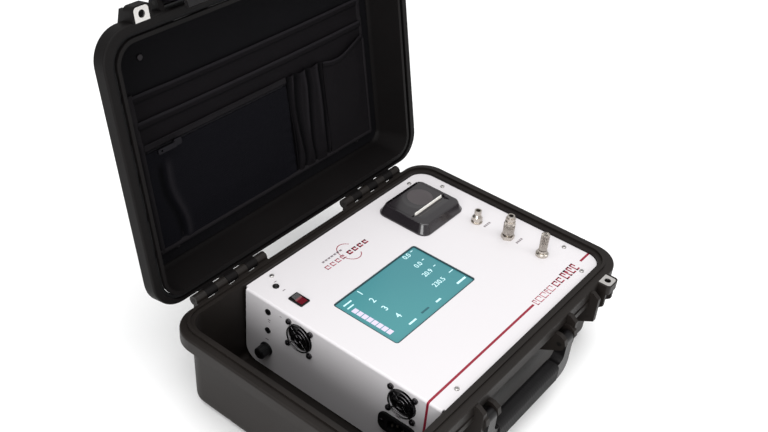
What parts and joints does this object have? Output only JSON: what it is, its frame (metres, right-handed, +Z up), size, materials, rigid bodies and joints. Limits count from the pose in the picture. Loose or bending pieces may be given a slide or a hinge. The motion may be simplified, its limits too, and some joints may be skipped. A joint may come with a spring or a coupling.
{
  "type": "portable gas analyser",
  "caption": "Gas analyser built into a rugged carry case: white panel with colour touch screen, ticket printer, gas fittings and cooling fans, hinged lid with an organiser, fold-down handle.",
  "frame": {"origin": "middle of the flat underside of the case, on the surface it stands on", "axes": "+X to the operator's right along the hinge line, +Y back towards the hinge, -Y to the carrying handle, +Z up"},
  "size_m": [0.462, 0.4508, 0.4658],
  "materials": {
    "case_plastic": "moulded black resin with a fine texture",
    "lid_plastic": "moulded black resin with a fine texture",
    "seal_rubber": "soft black seal",
    "stainless": "bright stainless steel",
    "pin_steel": "ground steel",
    "latch_plastic": "moulded black resin",
    "handle_plastic": "moulded black resin",
    "grip_rubber": "overmoulded soft rubber",
    "panel_paint": "white powder coat with a printed crimson line",
    "tray_metal": "plain sheet",
    "screw_steel": "plated",
    "bezel_black": "dark gasket",
    "screen_glass": "teal touch screen face",
    "module_black": "plain",
    "printer_gloss": "glossy dark grey",
    "roller_rubber": "rubber roller",
    "paper_white": "thermal paper",
    "rocker_red": "half red, half black",
    "switch_black": "black",
    "nickel": "nickel plated brass",
    "fan_plastic": "black",
    "guard_wire": "black wire",
    "black_screw": "blackened screws",
    "inlet_plastic": "black",
    "battery_wrap": "blue wrap",
    "board_green": "green board",
    "hose": "milky hose",
    "nylon": "black nylon",
    "nylon_mesh": "black mesh",
    "board_black": "black board",
    "zip_metal": "black zip slider"
  },
  "bodies": {
    "base": {"base_shell": "case_plastic", "hinge_pins": "pin_steel", "padlock_plates_base": "stainless", "pressure_valve": "latch_plastic", "handle_pins": "pin_steel", "front_panel": "panel_paint", "panel_screws": "screw_steel", "chassis_tray": "tray_metal", "display_frame": "bezel_black", "display_glass": "screen_glass", "display_module": "module_black", "printer_housing": "printer_gloss", "printer_mechanism": "module_black", "tear_bar": "stainless", "rocker_housing": "switch_black", "charge_lamp": "switch_black", "sample_port": "nickel", "outlet_port": "nickel", "flow_valve_body": "nickel", "port_nuts": "nickel", "fan_frames": "fan_plastic", "fan_guards": "guard_wire", "side_screws": "black_screw", "power_inlet": "inlet_plastic", "inlet_blades": "nickel", "fuse_holder": "inlet_plastic", "signal_sockets": "inlet_plastic", "battery_pack": "battery_wrap", "power_supply": "tray_metal", "main_board": "board_green", "gas_pump": "module_black", "sensor_bench": "tray_metal", "oxygen_cell": "module_black", "gas_tubes": "hose"},
    "lid": {"lid_shell": "lid_plastic", "lid_seal": "seal_rubber", "padlock_plates_lid": "stainless", "latch_pins": "pin_steel", "organiser_board": "board_black", "organiser_screws": "black_screw", "document_pockets": "nylon", "zip_pocket": "nylon_mesh", "pen_pockets": "nylon", "card_pocket": "nylon"},
    "handle": {"handle_frame": "handle_plastic", "handle_grip": "grip_rubber"},
    "latch_right": {"latch_frame_right": "latch_plastic"},
    "latch_left": {"latch_frame_left": "latch_plastic"},
    "lever_right": {"latch_lever_right": "latch_plastic"},
    "lever_left": {"latch_lever_left": "latch_plastic"},
    "printer_lid": {"printer_door": "printer_gloss"},
    "platen": {"platen_roller": "roller_rubber"},
    "paper": {"paper_roll": "paper_white"},
    "power_switch": {"rocker": "rocker_red"},
    "sleeve": {"outlet_sleeve": "nickel"},
    "valve_knob": {"flow_knob": "nickel"},
    "rotor_rear": {"fan_rotor_rear": "fan_plastic"},
    "rotor_front": {"fan_rotor_front": "fan_plastic"},
    "cap": {"fuse_cap": "inlet_plastic"},
    "zip": {"zip_slider": "zip_metal"}
  },
  "joints": [
    {"name": "lid_hinge", "type": "hinge", "parent": "base", "child": "lid", "pos_m": [0, 0.1618, 0.1142], "axis": [1, 0, 0], "range_deg": [0, 101]},
    {"name": "handle_pivot", "type": "hinge", "parent": "base", "child": "handle", "pos_m": [0, -0.168, 0.088], "axis": [-1, 0, 0], "range_deg": [0, 95]},
    {"name": "latch_right_pivot", "type": "hinge", "parent": "lid", "child": "latch_right", "pos_m": [0.122, 0.23714, 0.43471], "axis": [-1, 0, 0], "range_deg": [-16, 60]},
    {"name": "latch_left_pivot", "type": "hinge", "parent": "lid", "child": "latch_left", "pos_m": [-0.122, 0.23714, 0.43471], "axis": [-1, 0, 0], "range_deg": [-16, 60]},
    {"name": "lever_right_pivot", "type": "hinge", "parent": "latch_right", "child": "lever_right", "pos_m": [0.122, 0.22605, 0.44598], "axis": [-1, 0, 0], "range_deg": [0, 35]},
    {"name": "lever_left_pivot", "type": "hinge", "parent": "latch_left", "child": "lever_left", "pos_m": [-0.122, 0.22605, 0.44598], "axis": [-1, 0, 0], "range_deg": [0, 35]},
    {"name": "printer_door_hinge", "type": "hinge", "parent": "base", "child": "printer_lid", "pos_m": [0.137, 0.113, 0.1205], "axis": [1, 0, 0], "range_deg": [-90, 0]},
    {"name": "platen_spin", "type": "hinge", "parent": "printer_lid", "child": "platen", "pos_m": [0.137, 0.0806, 0.114], "axis": [1, 0, 0], "continuous": true},
    {"name": "paper_spin", "type": "hinge", "parent": "base", "child": "paper", "pos_m": [0.137, 0.0955, 0.086], "axis": [1, 0, 0], "continuous": true},
    {"name": "rocker_pivot", "type": "hinge", "parent": "base", "child": "power_switch", "pos_m": [-0.099, 0.081, 0.1084], "axis": [-1, 0, 0], "range_deg": [0, 18]},
    {"name": "sleeve_slide", "type": "slide", "parent": "base", "child": "sleeve", "axis": [0, 0, -1], "range_m": [0, 0.002], "stiffness_N_per_m": 600},
    {"name": "flow_knob_turn", "type": "hinge", "parent": "base", "child": "valve_knob", "pos_m": [0.1685, -0.079, 0.13], "axis": [0, 0, 1], "range_deg": [0, 1440]},
    {"name": "fan_rear_spin", "type": "hinge", "parent": "base", "child": "rotor_rear", "pos_m": [-0.12, 0.055, 0.086], "axis": [1, 0, 0], "continuous": true},
    {"name": "fan_front_spin", "type": "hinge", "parent": "base", "child": "rotor_front", "pos_m": [-0.12, -0.09, 0.086], "axis": [1, 0, 0], "continuous": true},
    {"name": "fuse_cap_turn", "type": "hinge", "parent": "base", "child": "cap", "pos_m": [-0.13, 0.105, 0.038], "axis": [1, 0, 0], "range_deg": [0, 90]},
    {"name": "zip_slide", "type": "slide", "parent": "lid", "child": "zip", "axis": [1, 0, 0], "range_m": [0, 0.165]}
  ]
}
